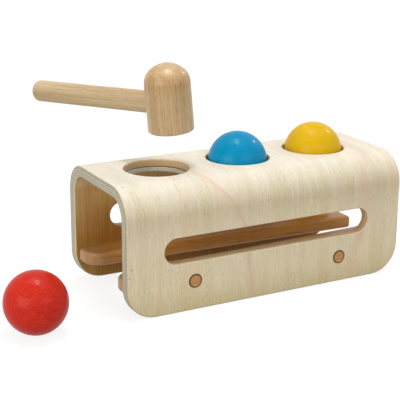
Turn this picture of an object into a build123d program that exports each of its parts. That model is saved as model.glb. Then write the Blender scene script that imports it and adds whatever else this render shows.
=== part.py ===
from build123d import *
import math
import os

# Ball pounding bench: a bent plywood bench with three holes, a pair of
# track boards that the balls roll down, and a mallet to knock them through.
# The origin is on the floor at the middle of the bench. X runs along the
# bench, the front wall is towards -Y, and Z is up. Lengths in millimetres.

# The bench: one plywood sheet bent into an upturned U
bench_length = 260.0
bench_width = 114.0
bench_height = 105.3
ply_thickness = 9.5
bend_radius = 25.5
foot_corner_radius = 25.5
end_edge_radius = 1.6

# The three holes in its top, with a rebate under each for a ring
hole_pitch = 76.4
hole_ball_gap = 1.75
hole_edge_radius = 1.5
ring_rebate_width = 2.6

# The long slot in each wall, and how much higher the back one is
slot_length = 194.0
slot_height = 21.0
slot_centre_height = 52.0
back_slot_rise = 1.7
slot_edge_radius = 1.2

# The balls, and how deep they sit in their rings
ball_diameter = 50.0
ball_sink = 3.0
ball_seat_gap = 0.3

# The soft rings, loose enough in their rebates to be pushed in
ring_thickness = 3.6
ring_rim_gap = 0.1
ring_top_gap = 0.1

# The two track boards. The gap between them is a share of the ball's
# diameter, and it widens to the left, where the balls sink deeper and roll out
track_left_inset = 2.5
track_right_inset = 0.2
track_thickness = 11.0
track_bottom_height = 19.0
track_gap_left_share = 0.916
track_gap_right_share = 0.48
# The round left corner of a board, as a share of the board's width there
track_left_corner_share = 0.62
track_right_corner_radius = 3.1
track_wall_corner_cut = 3.5
track_top_edge_radius = 3.0
track_bottom_edge_radius = 2.6

# The fixings: a screw under a plug, two in each wall
plug_diameter = 12.0
plug_thickness = 3.6
plug_proud = 0.4
plug_edge_radius = 0.5
plug_rim_gap = 0.25
plug_screw_gap = 0.4
screw_head_diameter = 7.0
screw_head_height = 2.4
screw_shank_diameter = 3.5
screw_length = 25.0
screw_tip_length = 4.0
screw_hole_gap = 0.1
left_fixing_x = -70.1
right_fixing_x = 68.4
# How far above the middle of the board's edge the left screws go in, and how
# far below it the right ones do
left_fixing_rise = 0.3
right_fixing_drop = 2.3

# The mallet: a domed head and a dowel handle glued into its side
mallet_head_diameter = 37.8
mallet_body_length = 40.0
mallet_dome_height = 16.0
mallet_shoulder_radius = 13.8
mallet_face_edge_radius = 1.5
handle_diameter = 18.3
handle_reach = 142.5
handle_drop = 17.8
handle_end_radius = 4.5
handle_tenon_edge = 0.6
handle_socket_depth = 24.0
handle_glue_gap = 0.05

# The mallet is held up over the left hole: the base of its dome is this far
# to the right of the hole's middle and this far above the bench
mallet_offset = 10.2
mallet_lift = 69.5
mallet_lean_degrees = 5.2
mallet_heading_degrees = 117.3

# The red ball has rolled out onto the floor: its middle is this far beyond
# the left end and this far forward of the bench's middle
red_ball_distance = 68.7
red_ball_offset = 42.0

# Cuts run past the faces that they open by this much
overrun = 5.0
# Two places nearer than this are the same place
same_place = 0.01

# Worked out from the sizes above
half_length = bench_length / 2
half_width = bench_width / 2
inner_wall_y = half_width - ply_thickness
under_top = bench_height - ply_thickness
ball_radius = ball_diameter / 2
ball_height = bench_height - ball_sink
hole_radius = ball_radius + hole_ball_gap
hole_places = {"left": -hole_pitch, "centre": 0.0, "right": hole_pitch}
slot_heights = {"front": slot_centre_height, "back": slot_centre_height + back_slot_rise}
ring_rebate_depth = ring_thickness + ring_top_gap
ring_seat_radius = hole_radius + ring_rebate_width
track_left_end = track_left_inset - half_length
track_right_end = half_length - track_right_inset
half_gap_left = track_gap_left_share * ball_diameter / 2
half_gap_right = track_gap_right_share * ball_diameter / 2
track_middle_height = track_bottom_height + track_thickness / 2
fixing_places = {
    "left": (left_fixing_x, track_middle_height + left_fixing_rise),
    "right": (right_fixing_x, track_middle_height - right_fixing_drop),
}
screw_recess_depth = plug_thickness - plug_proud + plug_screw_gap + screw_head_height
head_radius = mallet_head_diameter / 2
# The front wall faces -Y and the back wall faces +Y
wall_sides = {"front": -1, "back": 1}


def bench_section():
    """The upturned U seen from the end, as a face in the YZ plane."""
    legs = bench_height + bend_radius
    outside = RectangleRounded(bench_width, 2 * legs, bend_radius)
    inside = RectangleRounded(
        2 * inner_wall_y, 2 * (legs - ply_thickness), bend_radius - ply_thickness
    )
    sheet = Pos(0, bench_height - legs) * (outside - inside)
    window = Pos(0, bench_height) * Rectangle(bench_width, 2 * bench_height)
    return Plane.YZ * (sheet & window)


def bench_side():
    """The bench seen from the front: square above, round corners at the feet."""
    outline = Rectangle(bench_length, bench_height)
    feet = outline.vertices().group_by(Axis.Y)[0]
    return fillet(feet, foot_corner_radius)


def is_rim_edge(edge):
    """True for an edge of the sheet's rim that runs along a face of the sheet."""
    box = edge.bounding_box()
    across = box.size.X < same_place and box.size.Z < same_place
    if across and box.size.Y < ply_thickness + same_place:
        return False
    at_end = abs(edge.center().X) > half_length - same_place and box.size.X < same_place
    at_foot = box.max.Z < same_place
    at_corner = box.max.Z < foot_corner_radius + same_place and box.size.Y < same_place
    return at_end or at_foot or at_corner


def at_y(edge, place):
    """True for an edge that lies flat in a plane across Y at this place."""
    box = edge.bounding_box()
    return box.size.Y < same_place and abs(box.min.Y - place) < same_place


def plywood_shell():
    """The bent sheet with its eased rim, slots, holes, rebates and screw recesses."""
    shell = extrude(bench_section(), half_length, both=True)
    side = Pos(0, 0, bench_height / 2) * Rot(90, 0, 0) * bench_side()
    shell = shell & extrude(side, bench_width, both=True)
    shell = fillet(shell.edges().filter_by(is_rim_edge), end_edge_radius)

    for wall, side_sign in wall_sides.items():
        slot = Rot(90, 0, 0) * SlotOverall(slot_length, slot_height)
        slot = extrude(slot, ply_thickness + overrun, both=True)
        slot = Pos(0, side_sign * inner_wall_y, slot_heights[wall]) * slot
        shell = shell - slot
        slot_box = slot.bounding_box()
        around_slot = [
            edge
            for edge in shell.edges()
            if any(at_y(edge, side_sign * y) for y in (half_width, inner_wall_y))
            and slot_box.min.X - same_place < edge.bounding_box().min.X
            and edge.bounding_box().max.X < slot_box.max.X + same_place
            and edge.bounding_box().min.Z > slot_box.min.Z - same_place
            and edge.bounding_box().max.Z < slot_box.max.Z + same_place
        ]
        shell = fillet(around_slot, slot_edge_radius)

    for x in hole_places.values():
        hole = Pos(x, 0, bench_height) * Cylinder(hole_radius, bench_height)
        shell = shell - hole
        rebate = Cylinder(ring_seat_radius, ring_rebate_depth + overrun)
        rebate_middle = under_top + (ring_rebate_depth - overrun) / 2
        shell = shell - Pos(x, 0, rebate_middle) * rebate
    hole_rims = [
        edge
        for edge in shell.edges().filter_by(GeomType.CIRCLE)
        if abs(edge.bounding_box().min.Z - bench_height) < same_place
    ]
    shell = fillet(hole_rims, hole_edge_radius)

    for side_sign in wall_sides.values():
        for x, z in fixing_places.values():
            shell = shell - wall_cylinder(
                side_sign, x, z, plug_diameter / 2, -overrun, screw_recess_depth
            )
            shell = shell - wall_cylinder(
                side_sign,
                x,
                z,
                screw_shank_diameter / 2 + screw_hole_gap,
                screw_recess_depth - overrun,
                ply_thickness + overrun,
            )
    return shell


def wall_cylinder(side_sign, x, z, radius, start_depth, end_depth):
    """A round piece square to a wall, between two depths in from its outer face."""
    middle = side_sign * (half_width - (start_depth + end_depth) / 2)
    body = Cylinder(radius, end_depth - start_depth)
    return Pos(x, middle, z) * Rot(90, 0, 0) * body


def track_board(side_sign):
    """One track board: a tapered board with eased edges and two pilot holes."""
    outline = Polygon(
        (track_left_end + track_wall_corner_cut, -inner_wall_y),
        (track_right_end, -inner_wall_y),
        (track_right_end, -half_gap_right),
        (track_left_end, -half_gap_left),
        (track_left_end, -inner_wall_y + track_wall_corner_cut),
        align=None,
    )
    inner_corners = outline.vertices().sort_by(Axis.Y)[-2:]
    left_corner = inner_corners.sort_by(Axis.X)[0]
    left_end_width = inner_wall_y - half_gap_left
    outline = fillet(left_corner, track_left_corner_share * left_end_width)
    right_corner = outline.vertices().sort_by(Axis.Y)[-1]
    outline = fillet(right_corner, track_right_corner_radius)
    board = Pos(0, 0, track_bottom_height) * extrude(outline, track_thickness)

    def free_edges(face):
        """The edges of a flat face, apart from the one against the wall."""
        return [
            edge
            for edge in face.edges()
            if edge.bounding_box().max.Y > -inner_wall_y + same_place
        ]

    board = fillet(free_edges(board.faces().sort_by(Axis.Z)[-1]), track_top_edge_radius)
    board = fillet(free_edges(board.faces().sort_by(Axis.Z)[0]), track_bottom_edge_radius)
    if side_sign > 0:
        board = mirror(board, about=Plane.XZ)
    for x, z in fixing_places.values():
        board = board - wall_cylinder(
            side_sign,
            x,
            z,
            screw_shank_diameter / 2 + screw_hole_gap,
            ply_thickness - overrun,
            screw_recess_depth + screw_length + screw_hole_gap,
        )
    return board


def soft_ring(x):
    """A ring whose bore is hollowed to the ball, so that the ball rests on its lip."""
    ring = Cylinder(ring_seat_radius - ring_rim_gap, ring_thickness)
    ring = Pos(x, 0, under_top + ring_thickness / 2) * ring
    return ring - Pos(x, 0, ball_height) * Sphere(ball_radius + ball_seat_gap)


def plug(side_sign, x, z):
    """A turned plug over a screw, a little proud of the wall, with an eased edge."""
    body = wall_cylinder(
        side_sign,
        x,
        z,
        plug_diameter / 2 - plug_rim_gap,
        -plug_proud,
        plug_thickness - plug_proud,
    )
    outer_face = body.faces().sort_by(Axis.Y)[-1 if side_sign > 0 else 0]
    return fillet(outer_face.edges(), plug_edge_radius)


def wood_screw(side_sign, x, z):
    """A wood screw without its thread: a round head, a shank and a pointed tip."""
    profile = Polyline(
        (0, 0),
        (screw_head_diameter / 2, 0),
        (screw_head_diameter / 2, screw_head_height / 2),
        (screw_head_diameter / 4, screw_head_height),
        (0, screw_head_height),
        close=True,
    )
    head = revolve(Plane.XZ * make_face(profile), Axis.Z)
    shank_length = screw_length - screw_tip_length
    shank_radius = screw_shank_diameter / 2
    shank = Pos(0, 0, -shank_length / 2) * Cylinder(shank_radius, shank_length)
    tip = Pos(0, 0, -shank_length - screw_tip_length / 2) * Cone(
        screw_shank_diameter / 8, shank_radius, screw_tip_length
    )
    screw = head + shank + tip
    outwards = Rot(-90 * side_sign, 0, 0) * screw
    return Pos(x, side_sign * (half_width - screw_recess_depth), z) * outwards


def ball(x, y, z):
    """A turned wooden ball."""
    return Pos(x, y, z) * Sphere(ball_radius)


def in_hand(piece):
    """Moves a mallet piece from its own upright frame to where the mallet is held."""
    held = Rot(0, -mallet_lean_degrees, 0) * Rot(0, 0, mallet_heading_degrees)
    place = Pos(hole_places["left"] + mallet_offset, 0, bench_height + mallet_lift)
    return place * held * piece


def mallet_head():
    """The turned head, domed above and flat below, with a socket in its side.

    The dome is two arcs: one tangent to the side, and a larger one over the top.
    """
    shoulder_middle = head_radius - mallet_shoulder_radius
    rise = mallet_dome_height - mallet_shoulder_radius
    spread = shoulder_middle**2 + mallet_dome_height**2 - mallet_shoulder_radius**2
    crown_radius = spread / (2 * rise)
    crown_middle = mallet_dome_height - crown_radius
    turn = math.degrees(math.atan2(-crown_middle, shoulder_middle))
    shoulder = CenterArc((shoulder_middle, 0), mallet_shoulder_radius, 0, turn)
    crown = CenterArc((0, crown_middle), crown_radius, turn, 90 - turn)
    sides = Polyline(
        (0, mallet_dome_height),
        (0, -mallet_body_length),
        (head_radius, -mallet_body_length),
        (head_radius, 0),
    )
    profile = shoulder + crown + sides
    head = revolve(Plane.XZ * make_face(profile), Axis.Z)
    face = head.faces().sort_by(Axis.Z)[0]
    head = fillet(face.edges(), mallet_face_edge_radius)
    socket_length = handle_socket_depth + overrun
    socket_middle = head_radius - handle_socket_depth + socket_length / 2
    socket = Cylinder(handle_diameter / 2 + handle_glue_gap, socket_length)
    head = head - Pos(socket_middle, 0, -handle_drop) * Rot(0, 90, 0) * socket
    return in_hand(head)


def mallet_handle():
    """The dowel handle, from the bottom of its socket to its rounded end."""
    start = head_radius - handle_socket_depth
    length = handle_reach - start
    dowel = Pos(start + length / 2, 0, -handle_drop) * Rot(0, 90, 0) * Cylinder(
        handle_diameter / 2, length
    )
    ends = dowel.faces().filter_by(GeomType.PLANE).sort_by(Axis.X)
    dowel = fillet(ends[-1].edges(), handle_end_radius)
    tenon_face = dowel.faces().filter_by(GeomType.PLANE).sort_by(Axis.X)[0]
    dowel = chamfer(tenon_face.edges(), handle_tenon_edge)
    return in_hand(dowel)


def pieces():
    """Every piece of the toy, by the name of its node."""
    made = {"plywood_shell": plywood_shell()}
    for wall, side_sign in wall_sides.items():
        made[wall + "_track_board"] = track_board(side_sign)
        for side, (x, z) in fixing_places.items():
            made[wall + "_" + side + "_plug"] = plug(side_sign, x, z)
            made[wall + "_" + side + "_screw"] = wood_screw(side_sign, x, z)
    for side, x in hole_places.items():
        made[side + "_ring"] = soft_ring(x)
    made["red_ball"] = ball(
        -half_length - red_ball_distance, -red_ball_offset, ball_radius
    )
    made["blue_ball"] = ball(hole_places["centre"], 0, ball_height)
    made["yellow_ball"] = ball(hole_places["right"], 0, ball_height)
    made["mallet_head"] = mallet_head()
    made["mallet_handle"] = mallet_handle()
    return made


def track_ball_height(x):
    """How high a ball's centre is as it rolls on the two eased track edges."""
    share_along = (x - track_left_end) / (track_right_end - track_left_end)
    half_gap = half_gap_left + (half_gap_right - half_gap_left) * share_along
    reach = ball_radius + track_top_edge_radius
    across = half_gap + track_top_edge_radius
    top = track_bottom_height + track_thickness
    return top - track_top_edge_radius + math.sqrt(reach**2 - across**2)


os.makedirs("parts", exist_ok=True)
for name, piece in pieces().items():
    export_step(piece, "parts/" + name + ".step")
    print(name, "volume", round(piece.volume), "mm3")
for side in ("centre", "right"):
    x = hole_places[side]
    print(side, "ball drops", round(ball_height - track_ball_height(x), 2), "mm")
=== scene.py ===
# %% [markdown]
# A ball pounding bench in wood.
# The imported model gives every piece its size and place. This script adds the
# camera, the light and the finish of each surface, and makes the balls and the
# soft rings again as smoother surfaces.

import math

import bpy
import numpy as np
from mathutils import Matrix, Vector


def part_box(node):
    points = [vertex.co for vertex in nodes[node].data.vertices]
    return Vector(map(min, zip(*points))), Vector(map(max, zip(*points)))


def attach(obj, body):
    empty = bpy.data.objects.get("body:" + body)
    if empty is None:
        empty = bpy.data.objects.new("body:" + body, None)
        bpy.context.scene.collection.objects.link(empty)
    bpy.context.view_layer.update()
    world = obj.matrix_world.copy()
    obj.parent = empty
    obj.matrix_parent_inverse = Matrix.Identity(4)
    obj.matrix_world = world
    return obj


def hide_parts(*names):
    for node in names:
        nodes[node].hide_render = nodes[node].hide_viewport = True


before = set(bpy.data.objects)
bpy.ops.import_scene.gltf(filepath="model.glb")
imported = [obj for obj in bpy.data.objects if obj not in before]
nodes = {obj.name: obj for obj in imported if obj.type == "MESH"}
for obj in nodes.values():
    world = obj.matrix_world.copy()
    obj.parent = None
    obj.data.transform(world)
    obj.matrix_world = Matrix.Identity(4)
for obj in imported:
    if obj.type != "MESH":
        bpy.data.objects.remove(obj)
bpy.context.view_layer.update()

# %% [markdown]
# The patterns are worked out in millimetres, because a woodworker thinks of a
# pore or a ply in millimetres. Blender's own unit is the metre. The packed
# model says how large the bench is. The thickness of its sheet and the radius
# of its bends are repeated here from its drawing.

# %% Sizes of the bent sheet
mm = 0.001
shell_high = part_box("plywood_shell")[1] / mm
half_length, half_width, height = shell_high
ply_thickness = 9.5
bend_radius = 25.5
wall_top = height - bend_radius
flat_half_width = half_width - bend_radius
half_unrolled = flat_half_width + bend_radius * math.pi / 2 + wall_top
print("half length, half width, height", [round(v, 2) for v in shell_high])
print("the sheet is", round(2 * half_unrolled, 1), "mm wide when it is flat")

# %% [markdown]
# Colours are written as a designer writes them, in sRGB hex. Shaders work in
# linear light, so one function turns the one into the other.

# %% Colour from hex
def colour(code):
    """The linear RGBA of an sRGB hex colour such as #d4c5a5."""
    parts = [int(code[i : i + 2], 16) / 255 for i in (1, 3, 5)]
    linear = [c / 12.92 if c <= 0.04045 else ((c + 0.055) / 1.055) ** 2.4 for c in parts]
    return (*linear, 1.0)


# %% [markdown]
# A material is a graph of nodes. One small function adds a node: it sets the
# node's own settings, then gives each input a number, a colour, or the output
# of a node that is already there. A ramp or a curve also gets its points here.

# %% Add a node
MATH, VECTOR_MATH, MIX = "ShaderNodeMath", "ShaderNodeVectorMath", "ShaderNodeMix"
RAMP, RANGE = "ShaderNodeValToRGB", "ShaderNodeMapRange"


def add(tree, kind, inputs=(), stops=(), points=(), **settings):
    """A new node of that kind. Inputs go by place in a list, or by name in a dict."""
    node = tree.nodes.new(kind)
    for name, value in settings.items():
        setattr(node, name, value)
    if stops:
        elements = node.color_ramp.elements
        (elements[0].position, elements[0].color) = (stops[0][0], colour(stops[0][1]))
        (elements[1].position, elements[1].color) = (stops[-1][0], colour(stops[-1][1]))
        for place, code in stops[1:-1]:
            elements.new(place).color = colour(code)
    if points:
        curve = node.mapping.curves[0]
        curve.points[0].location, curve.points[1].location = points[0], points[-1]
        for place in points[1:-1]:
            curve.points.new(*place)
        node.mapping.update()
    open_inputs = [socket for socket in node.inputs if socket.enabled]
    names = [socket.name for socket in open_inputs]
    for key, value in inputs.items() if isinstance(inputs, dict) else enumerate(inputs):
        socket = open_inputs[names.index(key) if isinstance(key, str) else key]
        if isinstance(value, bpy.types.Node):
            value = next(out for out in value.outputs if out.enabled)
        if isinstance(value, bpy.types.NodeSocket):
            tree.links.new(value, socket)
        else:
            socket.default_value = value
    return node


# %% [markdown]
# Most nodes below are one of three sorts. A Map Range set to smooth steps turns
# a value into a soft mask, from 0 at its second number to 1 at its third. A Mix
# set to colours lays one colour over another by such a mask, and one set to
# multiply tints a colour. These settings are named once.

# %% Settings that repeat
SMOOTH = {"interpolation_type": "SMOOTHSTEP"}
OVER = {"data_type": "RGBA"}
TINT = {"data_type": "RGBA", "blend_type": "MULTIPLY"}

# %% [markdown]
# Every finish starts the same way, with an empty graph, a Principled shader and
# an output. The fixed numbers, such as gloss, go on the shader's own sockets.

# %% Start and finish a material
def start_material(name, **numbers):
    """A new material, its node tree and its Principled shader."""
    material = bpy.data.materials.new(name)
    material.use_nodes = True
    tree = material.node_tree
    tree.nodes.clear()
    sockets = {key.replace("_", " "): value for key, value in numbers.items()}
    shader = add(tree, "ShaderNodeBsdfPrincipled", sockets)
    add(tree, "ShaderNodeOutputMaterial", [shader])
    return material, tree, shader


def finish_material(tree, shader, base, height_map, relief):
    """Links the colour, and a relief in millimetres, to the shader."""
    tree.links.new(next(out for out in base.outputs if out.enabled), shader.inputs["Base Color"])
    bump_inputs = {"Height": height_map, "Distance": relief * mm, "Strength": 1.0}
    bump = add(tree, "ShaderNodeBump", bump_inputs)
    tree.links.new(bump.outputs[0], shader.inputs["Normal"])


# %% [markdown]
# ## The camera
# The photograph looks down at the front wall from the left. Its place, its turn
# and its long lens were fitted to the corners, holes and balls of the bench.
# The small shift puts the lens's axis where the photograph has it.

# %% Camera
photo_pixels = 400
focal_pixels = 1140.55
axis_pixel = (214.981, 199.021)
sensor = 36.0
camera_place = Vector((-470.734, -808.161, 350.798)) * mm
yaw, pitch, roll = (math.radians(angle) for angle in (29.076, -16.849, 0.520))

ahead = Vector((math.sin(yaw) * math.cos(pitch), math.cos(yaw) * math.cos(pitch), math.sin(pitch)))
level = Vector((math.cos(yaw), -math.sin(yaw), 0.0))
over = level.cross(ahead)
right = level * math.cos(roll) + over * math.sin(roll)
up = over * math.cos(roll) - level * math.sin(roll)

lens = bpy.data.cameras.new("camera")
lens.sensor_fit = "HORIZONTAL"
lens.sensor_width = sensor
lens.lens = sensor * focal_pixels / photo_pixels
lens.shift_x = 0.5 - axis_pixel[0] / photo_pixels
lens.shift_y = axis_pixel[1] / photo_pixels - 0.5
camera = bpy.data.objects.new("camera", lens)
turned_to = Matrix((right, up, -ahead)).transposed().to_4x4()
camera.matrix_world = Matrix.Translation(camera_place) @ turned_to
bpy.context.scene.collection.objects.link(camera)
bpy.context.scene.camera = camera
bpy.context.scene.view_settings.view_transform = "Standard"
print("lens", round(lens.lens, 1), "mm, shift", round(lens.shift_x, 4), round(lens.shift_y, 4))

# %% [markdown]
# ## The light
# A toy catalogue lights wood softly from right above, so that the top is the
# brightest face and the front wall is a step darker. The places of the lamps
# come from the highlights on the balls: a wide one overhead with a brighter
# core, a small bright one to the right, and a broad one in front. A broad one to
# the left reaches in through the open end, and the world fills in the rest.

# %% Which rays see plain white
def seen_rays(tree):
    """1 for a ray from the camera, off a glossy surface or through glass, else 0."""
    rays = add(tree, "ShaderNodeLightPath").outputs
    sum_of_two = add(tree, MATH, [rays["Is Camera Ray"], rays["Is Glossy Ray"]], operation="ADD")
    sum_of_all = add(tree, MATH, [sum_of_two, rays["Is Transmission Ray"]], operation="ADD")
    return add(tree, MATH, [sum_of_all, 1.0], operation="MINIMUM")


# %% World
fill_strength = 0.48
world = bpy.data.worlds.new("studio")
world.use_nodes = True
bpy.context.scene.world = world
sky = world.node_tree
sky.nodes.clear()
strength = add(sky, RANGE, {"Value": seen_rays(sky), "To Min": fill_strength, "To Max": 1.0})
white = add(sky, "ShaderNodeBackground", {"Color": colour("#ffffff"), "Strength": strength})
add(sky, "ShaderNodeOutputWorld", [white])
print("world: fill", fill_strength, "of the white that the camera sees")

# %% Lamps
def soft_lamp(name, place, target, width, depth, power):
    """A rectangular lamp turned from its place to a target, in millimetres and watts."""
    lamp = bpy.data.lights.new(name, "AREA")
    lamp.shape = "RECTANGLE"
    lamp.size, lamp.size_y = width * mm, depth * mm
    lamp.energy = power
    holder = bpy.data.objects.new(name, lamp)
    place, target = Vector(place) * mm, Vector(target) * mm
    holder.location = place
    holder.rotation_euler = (target - place).to_track_quat("-Z", "Y").to_euler()
    bpy.context.scene.collection.objects.link(holder)
    print(name, width, "by", depth, "mm,", power, "W")


bench_middle = (0, 0, 80)
soft_lamp("overhead_softbox", (60, 60, 1200), bench_middle, 1300, 700, 2.85)
soft_lamp("overhead_core", (-60, 20, 1150), bench_middle, 420, 240, 3.85)
soft_lamp("right_lamp", (1180, 260, 950), bench_middle, 130, 130, 3.0)
soft_lamp("left_lamp", (-1350, -560, 440), bench_middle, 1100, 700, 8.5)
soft_lamp("front_lamp", (250, -1500, 750), bench_middle, 1200, 700, 3.6)

# %% [markdown]
# The floor is a wide pale sheet of paper. To the camera most of its white is
# its own and a small part answers the light, so only a faint shadow shows, as
# on the white ground of a catalogue. Far off, where the lamps no longer reach,
# its own white grows to make up for them. For the light it is plain grey paper,
# so that the underside of each round piece falls off into shade.

# %% Floor
floor_half_size = 9.0
answering_share = 0.2
near_white, far_white = 1.05 - answering_share, 1.15 - answering_share
near_reach, far_reach = 0.3, 1.5
plain_grey = colour("#b6b3ae")
floor_mesh = bpy.data.meshes.new("floor")
corners = np.array([(-1, -1, 0), (1, -1, 0), (1, 1, 0), (-1, 1, 0)]) * floor_half_size
floor_mesh.from_pydata(corners.tolist(), [], [(0, 1, 2, 3)])
floor = bpy.data.objects.new("floor", floor_mesh)
bpy.context.scene.collection.objects.link(floor)

paper = bpy.data.materials.new("white paper sweep")
paper.use_nodes = True
sweep = paper.node_tree
sweep.nodes.clear()
on_paper = add(sweep, "ShaderNodeTexCoord").outputs["Object"]
away = add(sweep, VECTOR_MATH, [on_paper], operation="LENGTH").outputs["Value"]
strength = add(sweep, RANGE, [away, near_reach, far_reach, near_white, far_white], **SMOOTH)
own = add(sweep, "ShaderNodeEmission", {"Color": colour("#ffffff"), "Strength": strength})
answering_grey = (answering_share, answering_share, answering_share, 1.0)
answer = add(sweep, "ShaderNodeBsdfDiffuse", [answering_grey])
shown = add(sweep, "ShaderNodeAddShader", [own, answer])
plain = add(sweep, "ShaderNodeBsdfDiffuse", [plain_grey])
mixed = add(sweep, "ShaderNodeMixShader", [seen_rays(sweep), plain, shown])
add(sweep, "ShaderNodeOutputMaterial", [mixed])
floor_mesh.materials.append(paper)
print("floor", 2 * floor_half_size, "m wide in", paper.name)

# %% [markdown]
# ## Grain
# Wood is streaky because its cells are long and thin. A noise squeezed across
# the grain and stretched along it draws streaks of any size: long silky ones,
# short dark pores, and the broad bands of growth. Every wood below hands it a
# place in millimetres whose first axis runs along the grain.

# %% Streaks
def streaks(tree, place, width, length, detail, offset=0.0):
    """A noise from 0 to 1 with features about width by length millimetres."""
    shares = (1 / length, 1 / width, 1 / width)
    inputs = [place, shares, (offset, offset, offset)]
    squeezed = add(tree, VECTOR_MATH, inputs, operation="MULTIPLY_ADD")
    return add(tree, "ShaderNodeTexNoise", {"Vector": squeezed, "Scale": 1.0, "Detail": detail})


# %% [markdown]
# ## The bent plywood
# The bench is one sheet of laminated wood, bent while its glue was wet. Its
# grain runs round the bends, and a texture laid on X, Y and Z would smear
# there, so the sheet is unrolled first. Along is the distance round the bend
# from the middle of the top, and depth is how far a point lies under the outer
# face. Depth is also what shows the plies wherever an edge is cut.

# %% Unrolled coordinates of the sheet
def unrolled(tree):
    """The place (along, x, depth) on the sheet, then along, x, depth and z, in millimetres.

    Past the start of a bend, across and rise are the distances from the bend's
    centre line. Their angle gives the way round, and their length taken from
    the bend's radius gives the depth.
    """
    where = add(tree, "ShaderNodeTexCoord").outputs["Object"]
    in_mm = add(tree, VECTOR_MATH, [where, (1 / mm,) * 3], operation="MULTIPLY")
    x, y, z = add(tree, "ShaderNodeSeparateXYZ", [in_mm]).outputs
    out = add(tree, MATH, [y], operation="ABSOLUTE")
    past_flat = add(tree, MATH, [out, flat_half_width], operation="SUBTRACT")
    across = add(tree, MATH, [past_flat, 0.0], operation="MAXIMUM")
    past_wall = add(tree, MATH, [z, wall_top], operation="SUBTRACT")
    rise = add(tree, MATH, [past_wall, 0.0], operation="MAXIMUM")
    angle = add(tree, MATH, [across, rise], operation="ARCTAN2")
    across_squared = add(tree, MATH, [across, across], operation="MULTIPLY")
    squares = add(tree, MATH, [rise, rise, across_squared], operation="MULTIPLY_ADD")
    reach = add(tree, MATH, [squares], operation="SQRT")
    depth = add(tree, MATH, [bend_radius, reach], operation="SUBTRACT")
    on_top = add(tree, MATH, [out, flat_half_width], operation="MINIMUM")
    round_bend = add(tree, MATH, [angle, bend_radius, on_top], operation="MULTIPLY_ADD")
    below_bend = add(tree, MATH, [wall_top, z], operation="SUBTRACT")
    down = add(tree, MATH, [below_bend, 0.0], operation="MAXIMUM")
    distance = add(tree, MATH, [round_bend, down], operation="ADD")
    side = add(tree, MATH, [y], operation="SIGN")
    along = add(tree, MATH, [distance, side], operation="MULTIPLY")
    place = add(tree, "ShaderNodeCombineXYZ", [along, x, depth])
    return place, along, x, depth, z


# %% [markdown]
# A growth line is where one year's wood ends. On a veneer it wanders along the
# grain, sharp on one side and fading on the other. Its path is a curve: the
# distance round the bend goes in, and the line's place along X comes out. It
# weakens to the sanded share over the sanded reach, a stretch of that distance.

# %% Growth lines
sanded_reach = (-30.0, 20.0)
sanded_share = 0.35


def growth_line(tree, along, x, path, fade, sharp):
    """A mask of 1 at the line that fades over some millimetres towards -X.

    Over the top, where the veneer was sanded most, and behind it is weaker.
    """
    points = [(0.5 + 0.5 * s / half_unrolled, 0.5 + 0.5 * at / half_length) for s, at in path]
    share = add(tree, RANGE, [along, -half_unrolled, half_unrolled])
    line = add(tree, "ShaderNodeFloatCurve", [1.0, share], points=points)
    line_x = add(tree, RANGE, [line, 0.0, 1.0, -half_length, half_length])
    before = add(tree, MATH, [line_x, x], operation="SUBTRACT")
    fading = add(tree, RANGE, [before, 0.0, fade, 1.0, 0.0], **SMOOTH)
    edge = add(tree, RANGE, [before, -sharp, sharp], **SMOOTH)
    line = add(tree, MATH, [fading, edge], operation="MULTIPLY")
    sanded = add(tree, RANGE, [along, *sanded_reach, 1.0, sanded_share], **SMOOTH)
    return add(tree, MATH, [line, sanded], operation="MULTIPLY")


# Each path runs from the front wall's foot, over the top, to the back wall's.
main_path = [
    (-150.5, -13.5), (-140.0, -15.6), (-119.4, -18.9), (-100.3, -20.2), (-89.6, -22.3),
    (-79.6, -27.1), (-66.8, -33.7), (-35.7, -52.4), (-8.5, -49.8), (60.0, -44.0), (150.0, -36.0),
]
right_path = [
    (-150.2, 83.5), (-126.1, 86.2), (-109.1, 94.9), (-83.0, 100.7), (-65.0, 95.6), (-30.1, 108.6),
    (40.0, 112.0), (150.0, 104.0),
]
# Each line has its path, the width of its fade, its sharpness and its strength.
growth_lines = ((main_path, 9.0, 0.4, 0.55), (right_path, 14.0, 4.0, 0.45))
# A pin knot has its along, x and radius. All three are by the front's left edge.
pin_knots = [(-38.0, -123.9, 1.0), (-108.5, -125.8, 0.8), (-115.0, -128.0, 0.8)]
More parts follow.
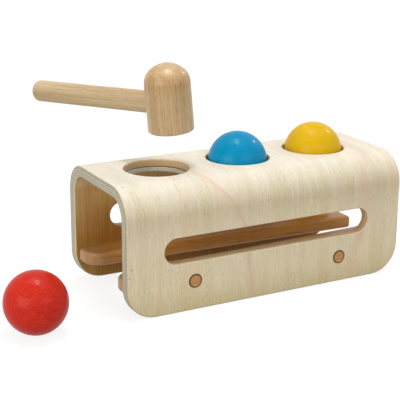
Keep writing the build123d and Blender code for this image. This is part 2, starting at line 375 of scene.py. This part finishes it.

# %% [markdown]
# The face is pale maple veneer under a thin satin lacquer: cream, with fine
# silky fibres, sparse short pores, and two growth lines that wander down the
# front. Its tone round the bends is painted light and shade: palest on the lit
# top, a painted shade just under the bend, lighter down the wall where light
# bounces up from the floor, and a little darker at the foot. The fibres are
# drawn three quarters of a millimetre wide, because real ones are finer than the
# picture shows. A few pin knots, where twigs once grew, are small dark dots.

# %% Face veneer
def face_veneer(tree, place, along, x):
    """The colour of the outer face with its painted light and shade, and its silky fibres for the
    relief.
    """
    silk = streaks(tree, place, 0.75, 20.0, 2.0)
    bands = streaks(tree, place, 15.0, 260.0, 1.0, 7.3)
    away = add(tree, MATH, [along], operation="ABSOLUTE")
    share = add(tree, RANGE, [away, 0.0, half_unrolled])
    # Painted light and shade: the lit top palest, a painted shade just under the bend, the wall
    # lighter in bounced light.
    face = add(tree, RAMP, [share], stops=[
        (0.00, "#ebe6da"), (0.26, "#ebe5d8"), (0.36, "#e8dfca"), (0.46, "#ddd0b2"),
        (0.60, "#ebdfc3"), (0.85, "#eadebf"), (1.00, "#ddcea6"),
    ])
    fibre = add(tree, RAMP, [silk], stops=[(0.34, "#f6f0e6"), (0.58, "#ffffff")])
    face = add(tree, MIX, [1.0, face, fibre], **TINT)
    drift = add(tree, RAMP, [bands], stops=[(0.36, "#fcf7f1"), (0.5, "#ffffff"), (0.64, "#f8f7f0")])
    face = add(tree, MIX, [1.0, face, drift], **TINT)
    for path, fade, sharp, strength in growth_lines:
        line = growth_line(tree, along, x, path, fade, sharp)
        line = add(tree, MATH, [line, strength], operation="MULTIPLY")
        face = add(tree, MIX, [line, face, colour("#dabba0")], **OVER)
    for at, knot_x, radius in pin_knots:
        gap = add(tree, VECTOR_MATH, [place, (at, knot_x, 0.0)], operation="DISTANCE")
        gap = gap.outputs["Value"]
        knot = add(tree, RANGE, [gap, 0.3 * radius, radius, 0.7, 0.0], **SMOOTH)
        face = add(tree, MIX, [knot, face, colour("#735a35")], **OVER)
    pores = streaks(tree, place, 0.55, 4.0, 1.0, 21.7)
    crowd = streaks(tree, place, 14.0, 50.0, 1.0, 3.1)
    fleck = add(tree, RANGE, [pores, 0.61, 0.72], **SMOOTH)
    here = add(tree, RANGE, [crowd, 0.40, 0.62, 0.15, 0.38], **SMOOTH)
    fleck = add(tree, MATH, [fleck, here], operation="MULTIPLY")
    return add(tree, MIX, [fleck, face, colour("#84754f")], **OVER), silk


# %% [markdown]
# A cut edge shows the plies, pale where a ply runs along the cut and grey-brown
# where its end grain shows. The rims of the slots and holes are tan, partly from
# their end grain and partly from painted shade and warm light bounced inside.
# The innermost veneer is a browner wood, which makes the inside of the bench look
# warm. Its paleness in the bend and by the open ends, and its darkening further
# down and in, are painted light and shade.
#
# A zone gives where a mask starts and where it is full. The end zone and the
# deep zone are distances from the middle of the bench, the foot zone is a
# height, and the low zone is a share of the way from the top's middle to a foot.

# %% Plies and inner veneer
end_zone = (half_length - 5.0, half_length - 8.0)
foot_zone = (3.0, 6.0)
# How much tan lies on the slot and hole rims: partly their end grain, partly painted shade.
rim_tan_and_shade = 0.85
deep_zone = (half_length - 12.0, half_length - 24.0)
low_zone = (0.48, 0.62)


def ply_edge(tree, place, share, x, z):
    """The colour of a cut edge, where share is the depth as a part of the sheet."""
    plies = add(tree, RAMP, [share], stops=[
        (0.00, "#d1cdb4"), (0.06, "#cbc7ae"), (0.08, "#b2ad94"), (0.32, "#aea88f"),
        (0.34, "#e1e2d0"), (0.40, "#ddddc9"), (0.42, "#a29c83"), (0.52, "#a29c83"),
        (0.54, "#e1e1cf"), (0.60, "#dbdbc7"), (0.62, "#9f987f"), (0.71, "#9f987f"),
        (0.73, "#dfdfcc"), (0.79, "#d9d9c4"), (0.81, "#a49e85"), (0.89, "#a9a288"),
        (0.91, "#e5e3ca"), (1.00, "#e1ddbe"),
    ])
    speckle = streaks(tree, place, 0.9, 0.9, 2.0, 5.5)
    dust = add(tree, RAMP, [speckle], stops=[(0.35, "#e4ded2"), (0.6, "#ffffff")])
    from_middle = add(tree, MATH, [x], operation="ABSOLUTE")
    inside_ends = add(tree, RANGE, [from_middle, *end_zone], **SMOOTH)
    above_foot = add(tree, RANGE, [z, *foot_zone], **SMOOTH)
    in_a_hole = add(tree, MATH, [inside_ends, above_foot], operation="MULTIPLY")
    rim_tan_and_shade_share = add(tree, MATH, [in_a_hole, rim_tan_and_shade], operation="MULTIPLY")
    # The rims' tan is partly end grain and partly painted shade with warm bounced light.
    warm_tint_and_shade = add(tree, RAMP, [share], stops=[(0.1, "#ddbf93"), (0.5, "#d4b081"), (0.9, "#c7a270")])
    cut = add(tree, MIX, [rim_tan_and_shade_share, plies, warm_tint_and_shade], **OVER)
    return add(tree, MIX, [1.0, cut, dust], **TINT)


def inner_veneer(tree, place, along, x):
    """The colour of the inner face: golden brown, with long darker fibres.

    Painted light and shade make it palest in the bend and deepen it down the wall, most away from
    the ends.
    """
    fibres = streaks(tree, place, 1.0, 30.0, 3.0, 13.1)
    bands = streaks(tree, place, 11.0, 200.0, 1.0, 17.9)
    away = add(tree, MATH, [along], operation="ABSOLUTE")
    share = add(tree, RANGE, [away, 0.0, half_unrolled])
    # The tone down the wall is painted light and shade: paler in the bend, darkest in the painted
    # shadow just above the boards.
    inner = add(tree, RAMP, [share], stops=[
        (0.00, "#dcb97c"), (0.25, "#e9d39b"), (0.38, "#f1e0b2"), (0.43, "#ebd49f"),
        (0.47, "#e0c188"), (0.56, "#dcbb80"), (0.60, "#d8b57a"), (0.64, "#d3ac71"),
        (0.68, "#cca667"), (0.72, "#c7a05e"), (0.76, "#c3974f"), (0.86, "#c3984f"),
        (0.93, "#cca764"), (1.00, "#cca764"),
    ])
    streak = add(tree, RAMP, [fibres], stops=[(0.3, "#e8ddc9"), (0.5, "#f5eee4"), (0.7, "#ffffff")])
    inner = add(tree, MIX, [1.0, inner, streak], **TINT)
    # Away from the open ends and low down, a painted shade darkens the wall further.
    from_middle = add(tree, MATH, [x], operation="ABSOLUTE")
    inside = add(tree, RANGE, [from_middle, *deep_zone], **SMOOTH)
    low_down = add(tree, RANGE, [share, *low_zone], **SMOOTH)
    deep = add(tree, MATH, [inside, low_down], operation="MULTIPLY")
    inner = add(tree, MIX, [deep, inner, colour("#f2e4cb")], **TINT)
    drift = add(tree, RAMP, [bands], stops=[(0.35, "#f9eee2"), (0.5, "#ffffff"), (0.65, "#f9f6e6")])
    return add(tree, MIX, [1.0, inner, drift], **TINT)


# %% [markdown]
# Both veneers are thin skins: each covers only the first or the last hundredths
# of the depth, and between them lie the plies of the cut edges.

# %% Plywood material
face_skin = (0.012, 0.03)
inner_skin = (0.985, 0.995)


def bent_plywood():
    """Maple-faced plywood, bent, sanded and lacquered."""
    material, tree, shader = start_material(
        "maple plywood, bent and lacquered", Roughness=0.5, Specular_IOR_Level=0.3
    )
    place, along, x, depth, z = unrolled(tree)
    share = add(tree, MATH, [depth, ply_thickness], operation="DIVIDE")
    face, silk = face_veneer(tree, place, along, x)
    on_face = add(tree, RANGE, [share, *face_skin, 1.0, 0.0], **SMOOTH)
    on_inner = add(tree, RANGE, [share, *inner_skin], **SMOOTH)
    base = add(tree, MIX, [on_face, ply_edge(tree, place, share, x, z), face], **OVER)
    base = add(tree, MIX, [on_inner, base, inner_veneer(tree, place, along, x)], **OVER)
    finish_material(tree, shader, base, silk, 0.008)
    return material


# %% Dress the shell
def dress(names, material):
    """Gives CAD nodes a new material in place of their own."""
    for name in names:
        data = nodes[name].data
        data.materials.clear()
        data.materials.append(material)
        print(name, len(data.polygons), "faces in", material.name)


dress(["plywood_shell"], bent_plywood())

# %% [markdown]
# ## Solid wood
# The boards, plugs, mallet and balls are rubberwood. Its pores are long, dark
# and easy to see, and its colour drifts between straw and a pinkish brown. Each
# piece is cut along the grain, so its own place is worked out first, with its
# grain as the first axis. The pores are drawn about twice as wide as real ones,
# because a real pore is narrower than a pixel of the picture.

# %% The place in a piece of solid wood
def own_place(tree, centre, first_axis, second_axis):
    """Object coordinates turned into a piece's own, in millimetres from its centre."""
    first = Vector(first_axis).normalized()
    third = first.cross(Vector(second_axis)).normalized()
    turn = Matrix((first, third.cross(first), third)).transposed().to_euler()
    where = add(tree, "ShaderNodeTexCoord").outputs["Object"]
    inputs = {"Vector": where, "Location": Vector(centre) * mm, "Rotation": turn,
              "Scale": (mm, mm, mm)}
    return add(tree, "ShaderNodeMapping", inputs, vector_type="TEXTURE")


# %% Grain of solid wood
def rubberwood(tree, place, tones, pore, pore_share, seed=0.0):
    """The colour of rubberwood in three tones, and its pores for the relief."""
    fibre = streaks(tree, place, 1.0, 40.0, 2.0, seed)
    bands = streaks(tree, place, 8.0, 180.0, 1.0, seed + 4.7)
    drift = add(tree, MATH, [bands, 0.5], operation="MULTIPLY")
    mixed = add(tree, MATH, [fibre, 0.5, drift], operation="MULTIPLY_ADD")
    base = add(tree, RAMP, [mixed], stops=list(zip((0.4, 0.5, 0.6), tones)))
    pores = streaks(tree, place, 0.7, 8.0, 1.0, seed + 11.3)
    dash = add(tree, RANGE, [pores, 0.6, 0.72, 0.0, pore_share], **SMOOTH)
    return add(tree, MIX, [dash, base, colour(pore)], **OVER), pores


x_axis, y_axis, z_axis = (1, 0, 0), (0, 1, 0), (0, 0, 1)

# %% [markdown]
# A track board is planed and lacquered, which brings out a golden brown. Its
# round nose is end grain, a little greyer and full of tiny pores, so the colour
# there is mixed in by the distance from the left end of the bench.

# %% Track boards
board_height = 24
nose_zone = (4.0, 45.0)
nose_strength = 0.85


def lacquered_board():
    """Rubberwood, planed and lacquered, with end grain at its left nose."""
    material, tree, shader = start_material(
        "rubberwood, planed and lacquered", Roughness=0.34, Specular_IOR_Level=0.4
    )
    place = own_place(tree, (-half_length, 0, board_height), x_axis, y_axis)
    tones = ("#c48537", "#d19240", "#dc9f4e")
    base, pores = rubberwood(tree, place, tones, "#8a5a2a", 0.45)
    from_end = add(tree, "ShaderNodeSeparateXYZ", [place]).outputs[0]
    nose = add(tree, RANGE, [from_end, *nose_zone, nose_strength, 0.0], **SMOOTH)
    dots = streaks(tree, place, 0.9, 0.9, 1.0, 2.2)
    end_grain = add(tree, RAMP, [dots], stops=[(0.38, "#a2794c"), (0.6, "#bf9566")])
    base = add(tree, MIX, [nose, base, end_grain], **OVER)
    finish_material(tree, shader, base, pores, 0.03)
    return material


dress(["front_track_board", "back_track_board"], lacquered_board())

# %% [markdown]
# ## Turned pieces
# A ball or a ring is one profile carried round an axis. A profile point has a
# distance from the axis and a height along it. A sharp corner of the profile
# is only a short arc here, as a lathe and sandpaper leave it.

# %% A turned surface
def turned(name, profile, axis_place, axis, segments, loop=False):
    """A surface of turning, as a new object.

    Each vertex is axis_place + radius * (cos a * u + sin a * v) + height * axis,
    with u and v square to the axis. A profile that ends on the axis is closed
    there by one vertex; a looped profile joins its end to its start.
    """
    profile = np.asarray(profile, float)
    axis = np.asarray(axis, float) / np.linalg.norm(axis)
    helper = np.array((0.0, 1.0, 0.0) if abs(axis[1]) < 0.9 else (1.0, 0.0, 0.0))
    u = np.cross(helper, axis)
    u /= np.linalg.norm(u)
    v = np.cross(axis, u)
    angle = np.arange(segments) * 2 * math.pi / segments
    round_axis = np.cos(angle)[:, None] * u + np.sin(angle)[:, None] * v
    rim = profile if loop else profile[1:-1]
    rings = rim[:, :1, None] * round_axis + rim[:, 1, None, None] * axis
    points = np.asarray(axis_place, float) + rings.reshape(-1, 3)
    count = len(rim)
    row = np.arange(count if loop else count - 1)[:, None]
    column = np.arange(segments)[None, :]
    following, next_row = (column + 1) % segments, (row + 1) % count
    corners = (row * segments + column, row * segments + following,
               next_row * segments + following, next_row * segments + column)
    faces = np.stack(np.broadcast_arrays(*corners), axis=-1).reshape(-1, 4).tolist()
    if not loop:
        ends = np.asarray(axis_place, float) + profile[[0, -1], 1:] * axis
        first, last = len(points), len(points) + 1
        points = np.concatenate([points, ends])
        start = np.arange(segments)
        after = (start + 1) % segments
        base = (count - 1) * segments
        faces += np.stack([np.full(segments, first), after, start], axis=1).tolist()
        faces += np.stack([base + start, base + after, np.full(segments, last)], axis=1).tolist()
    mesh = bpy.data.meshes.new(name)
    mesh.from_pydata((points * mm).tolist(), [], faces)
    mesh.polygons.foreach_set("use_smooth", np.ones(len(mesh.polygons), bool))
    mesh.update()
    piece = bpy.data.objects.new(name, mesh)
    bpy.context.scene.collection.objects.link(piece)
    print(name, len(mesh.polygons), "faces")
    return piece


def arc(centre, radius, start, end, count):
    """Points of a profile on an arc, from one angle to another in degrees."""
    angle = np.radians(np.linspace(start, end, count))
    return np.asarray(centre) + radius * np.stack([np.cos(angle), np.sin(angle)], axis=1)


# %% [markdown]
# A ball is painted with two thin coats of water-based gloss, so the pores of the
# wood still show through as faint short dashes, and each lamp shows as a small
# clear spot. Its profile runs from the bottom of the ball to its top.

# %% Balls
def ball_paint(name, centre, grain, tones, speck, seed):
    """Water-based gloss paint on rubberwood, a little streaky."""
    material, tree, shader = start_material(
        "gloss paint on rubberwood, " + name, Roughness=0.36, Specular_IOR_Level=0.05,
        Coat_Weight=0.13, Coat_Roughness=0.08
    )
    place = own_place(tree, centre, grain, z_axis)
    brushed = streaks(tree, place, 1.6, 5.0, 3.0, seed)
    base = add(tree, RAMP, [brushed], stops=list(zip((0.3, 0.5, 0.7), tones)))
    pores = streaks(tree, place, 0.7, 2.0, 1.0, seed + 8.1)
    dash = add(tree, RANGE, [pores, 0.62, 0.74, 0.0, 0.2], **SMOOTH)
    base = add(tree, MIX, [dash, base, colour(speck)], **OVER)
    finish_material(tree, shader, base, pores, 0.01)
    return material


paints = {
    "red": ((0.9, 0.1, 0.4), ("#c12316", "#ca2b1a", "#d23520"), "#9a1812", 1.0),
    "blue": ((0.9, -0.4, 0.1), ("#0085b0", "#008ab6", "#008fbc"), "#006f9e", 2.0),
    "yellow": ((0.9, -0.2, -0.3), ("#d6a90c", "#daae0f", "#deb312"), "#be920c", 3.0),
}
for name, (grain, tones, speck, seed) in paints.items():
    low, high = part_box(name + "_ball")
    centre, ball_radius = (low + high) / 2 / mm, (high - low).z / 2 / mm
    profile = arc((0, 0), ball_radius, -90, 90, 65)
    ball = turned(name + "_painted_ball", profile, centre, grain, 128)
    ball.data.materials.append(ball_paint(name, centre, grain, tones, speck, seed))
    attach(ball, name + "_ball")
    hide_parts(name + "_ball")

# %% [markdown]
# ## Rings
# Each hole holds a ring of soft rubber from below, hollowed to the ball that
# rests on its lip. Moulded rubber has soft edges. The ring's top stops a little
# short of the wood, so a dark line shows round it, and its foot stands a little
# proud of the inner face. Rubber scatters light in a dull haze, so it is rough
# and grey-green, with a faint cloudiness.

# %% Rings
ring_shrink = 0.7
ring_proud = 0.5
ring_lip_radius = 0.5
ring_height = 95
ball_seat_gap = 0.3


def ring_rubber():
    """Natural rubber, moulded and matt."""
    material, tree, shader = start_material(
        "natural rubber, moulded", Roughness=0.75, Specular_IOR_Level=0.3
    )
    place = own_place(tree, (0, 0, ring_height), x_axis, y_axis)
    cloud = streaks(tree, place, 12.0, 12.0, 3.0, 2.0)
    dust = streaks(tree, place, 0.8, 0.8, 1.0, 6.0)
    base = add(tree, RAMP, [cloud], stops=[(0.35, "#b6b39b"), (0.5, "#bfbca6"), (0.65, "#c7c5b1")])
    mask = add(tree, RANGE, [dust, 0.55, 0.75, 0.0, 0.3], **SMOOTH)
    base = add(tree, MIX, [mask, base, colour("#d2cfbd")], **OVER)
    finish_material(tree, shader, base, dust, 0.03)
    return material


def ring_profile(outer, bottom, top, ball_height, bore):
    """A ring's section: soft corners outside, and a bore hollowed to the ball.

    The bore is an arc of the sphere of that radius round the ball's centre.
    """
    low = math.degrees(math.asin((bottom + ring_lip_radius - ball_height) / bore))
    high = math.degrees(math.asin((top - ring_lip_radius - ball_height) / bore))
    hollow = arc((0, ball_height), bore, high, low, 9)
    soft = ring_lip_radius
    return np.concatenate([
        arc((outer - soft, bottom + soft), soft, -90, 0, 6),
        arc((outer - soft, top - soft), soft, 0, 90, 6),
        arc((hollow[0, 0] + soft, top - soft), soft, 90, 175, 6),
        hollow,
        arc((hollow[-1, 0] + soft, bottom + soft), soft, 185, 270, 6),
    ])


rubber = ring_rubber()
low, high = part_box("blue_ball")
ball_height = sum(corner.z for corner in (low, high)) / 2 / mm
bore_radius = (high - low).z / 2 / mm + ball_seat_gap
for side in ("left", "centre", "right"):
    low, high = (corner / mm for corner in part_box(side + "_ring"))
    foot, top = low.z - ring_proud, high.z - ring_shrink
    section = ring_profile((high - low).x / 2, foot, top, ball_height, bore_radius)
    middle = ((low + high).x / 2, (low + high).y / 2, 0.0)
    ring = turned(side + "_rubber_ring", section, middle, z_axis, 160, loop=True)
    ring.data.materials.append(rubber)
    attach(ring, "bench")
    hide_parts(side + "_ring")

# %% [markdown]
# ## Plugs
# A plug hides each screw. It is turned from a darker piece of the same wood,
# and its grain runs along the bench. Its rim is darkened with a painted shadow,
# standing for the seam round the plug. The rim is found by the distance from the
# plug's middle.

# %% Plugs
plug_rim = 1.1
rim_softness = 0.2
painted_rim_shadow = 0.9


def lacquered_plug(side, middle, radius):
    """A rubberwood plug, turned and lacquered, with a painted shadow round its rim."""
    material, tree, shader = start_material(
        "rubberwood plug, lacquered, " + side, Roughness=0.5, Specular_IOR_Level=0.3
    )
    place = own_place(tree, middle, x_axis, z_axis)
    base, pores = rubberwood(tree, place, ("#b98550", "#c9955f", "#d6a672"), "#8c5c30", 0.35, 5.0)
    flat = add(tree, VECTOR_MATH, [place, (1.0, 1.0, 0.0)], operation="MULTIPLY")
    from_middle = add(tree, VECTOR_MATH, [flat], operation="LENGTH").outputs["Value"]
    edge = radius - plug_rim
    rim_shadow_inputs = [from_middle, edge - rim_softness, edge + rim_softness, 0.0, painted_rim_shadow]
    rim = add(tree, RANGE, rim_shadow_inputs, **SMOOTH)
    # A painted shadow of the seam round the plug darkens its rim.
    base = add(tree, MIX, [rim, base, colour("#553a1a")], **OVER)
    finish_material(tree, shader, base, pores, 0.02)
    return material


plugs = {side: ["front_" + side + "_plug", "back_" + side + "_plug"] for side in ("left", "right")}
for side, names in plugs.items():
    low, high = (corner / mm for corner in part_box(names[0]))
    middle = ((low + high).x / 2, 0.0, (low + high).z / 2)
    dress(names, lacquered_plug(side, middle, (high - low).x / 2))

# %% [markdown]
# The screws are hidden behind the plugs. They are zinc-plated steel, with the
# faint rings that thread rolling and plating leave.

# %% Screws
screw_height = 20


def zinc_steel():
    """Steel, zinc plated: a dull silver with a faint drift of tone."""
    material, tree, shader = start_material(
        "zinc-plated steel, rolled", Metallic=1.0, Roughness=0.35
    )
    place = own_place(tree, (0, 0, screw_height), y_axis, x_axis)
    rings = streaks(tree, place, 8.0, 0.5, 1.0, 4.0)
    base = add(tree, RAMP, [rings], stops=[(0.35, "#a4a7aa"), (0.65, "#c4c7ca")])
    finish_material(tree, shader, base, rings, 0.03)
    return material


steel = zinc_steel()
for names in plugs.values():
    dress([name.replace("plug", "screw") for name in names], steel)

# %% [markdown]
# ## The mallet
# The mallet is held in the air over the left hole. Its head is turned with a
# dome above and a flat face below, and the handle is a dowel glued into its
# side. The head's own frame leans a little and its handle points back and left.
# These places are repeated from the drawing, to lay the grain along each piece.

# %% Where the mallet is held
left_hole_x = -76.4
past_hole, above_bench = 10.2, 69.5
held_at = np.array((left_hole_x + past_hole, 0.0, height + above_bench))
lean, heading = math.radians(-5.2), math.radians(117.3)
tilt = Matrix.Rotation(lean, 3, "Y") @ Matrix.Rotation(heading, 3, "Z")
head_axis = np.array(tilt @ Vector(z_axis))
handle_axis = np.array(tilt @ Vector(x_axis))
print("head axis", head_axis.round(3), "handle axis", handle_axis.round(3))

# %% [markdown]
# The head is lacquered rubberwood. Fine dark pores run up its side, and round
# the foot of the dome, where the lathe cut across the grain, the lacquer has
# drawn in deeper and looks more orange. That tint lies within the dome's reach,
# in millimetres above and below the dome's foot.

# %% Mallet head
dome_reach = 20.0


def lacquered_head():
    """Rubberwood, turned and lacquered, more orange round the foot of the dome."""
    material, tree, shader = start_material(
        "rubberwood, turned and lacquered", Roughness=0.38, Specular_IOR_Level=0.35,
        Coat_Weight=0.15, Coat_Roughness=0.2
    )
    place = own_place(tree, held_at, head_axis, handle_axis)
    base, pores = rubberwood(tree, place, ("#b7976a", "#c1a377", "#cbb087"), "#7c5a38", 0.5, 2.4)
    up_the_head = add(tree, "ShaderNodeSeparateXYZ", [place]).outputs[0]
    share = add(tree, RANGE, [up_the_head, -dome_reach, dome_reach])
    warm_tint_and_shade = add(tree, RAMP, [share], stops=[
        (0.3, "#ffffff"), (0.5, "#fcf0dd"), (0.62, "#fdf3e3"), (0.85, "#ffffff"),
    ])
    base = add(tree, MIX, [1.0, base, warm_tint_and_shade], **TINT)
    finish_material(tree, shader, base, pores, 0.03)
    return material


dress(["mallet_head"], lacquered_head())

# %% [markdown]
# The handle is a plain dowel of paler wood, turned and lacquered more thinly.

# %% Mallet handle
def lacquered_dowel():
    """Rubberwood dowel, turned and lacquered."""
    material, tree, shader = start_material(
        "rubberwood dowel, turned and lacquered", Roughness=0.45, Specular_IOR_Level=0.35
    )
    place = own_place(tree, held_at, handle_axis, head_axis)
    base, pores = rubberwood(tree, place, ("#b3986f", "#c1a880", "#ccb58f"), "#80623c", 0.35, 7.7)
    finish_material(tree, shader, base, pores, 0.03)
    return material


dress(["mallet_handle"], lacquered_dowel())
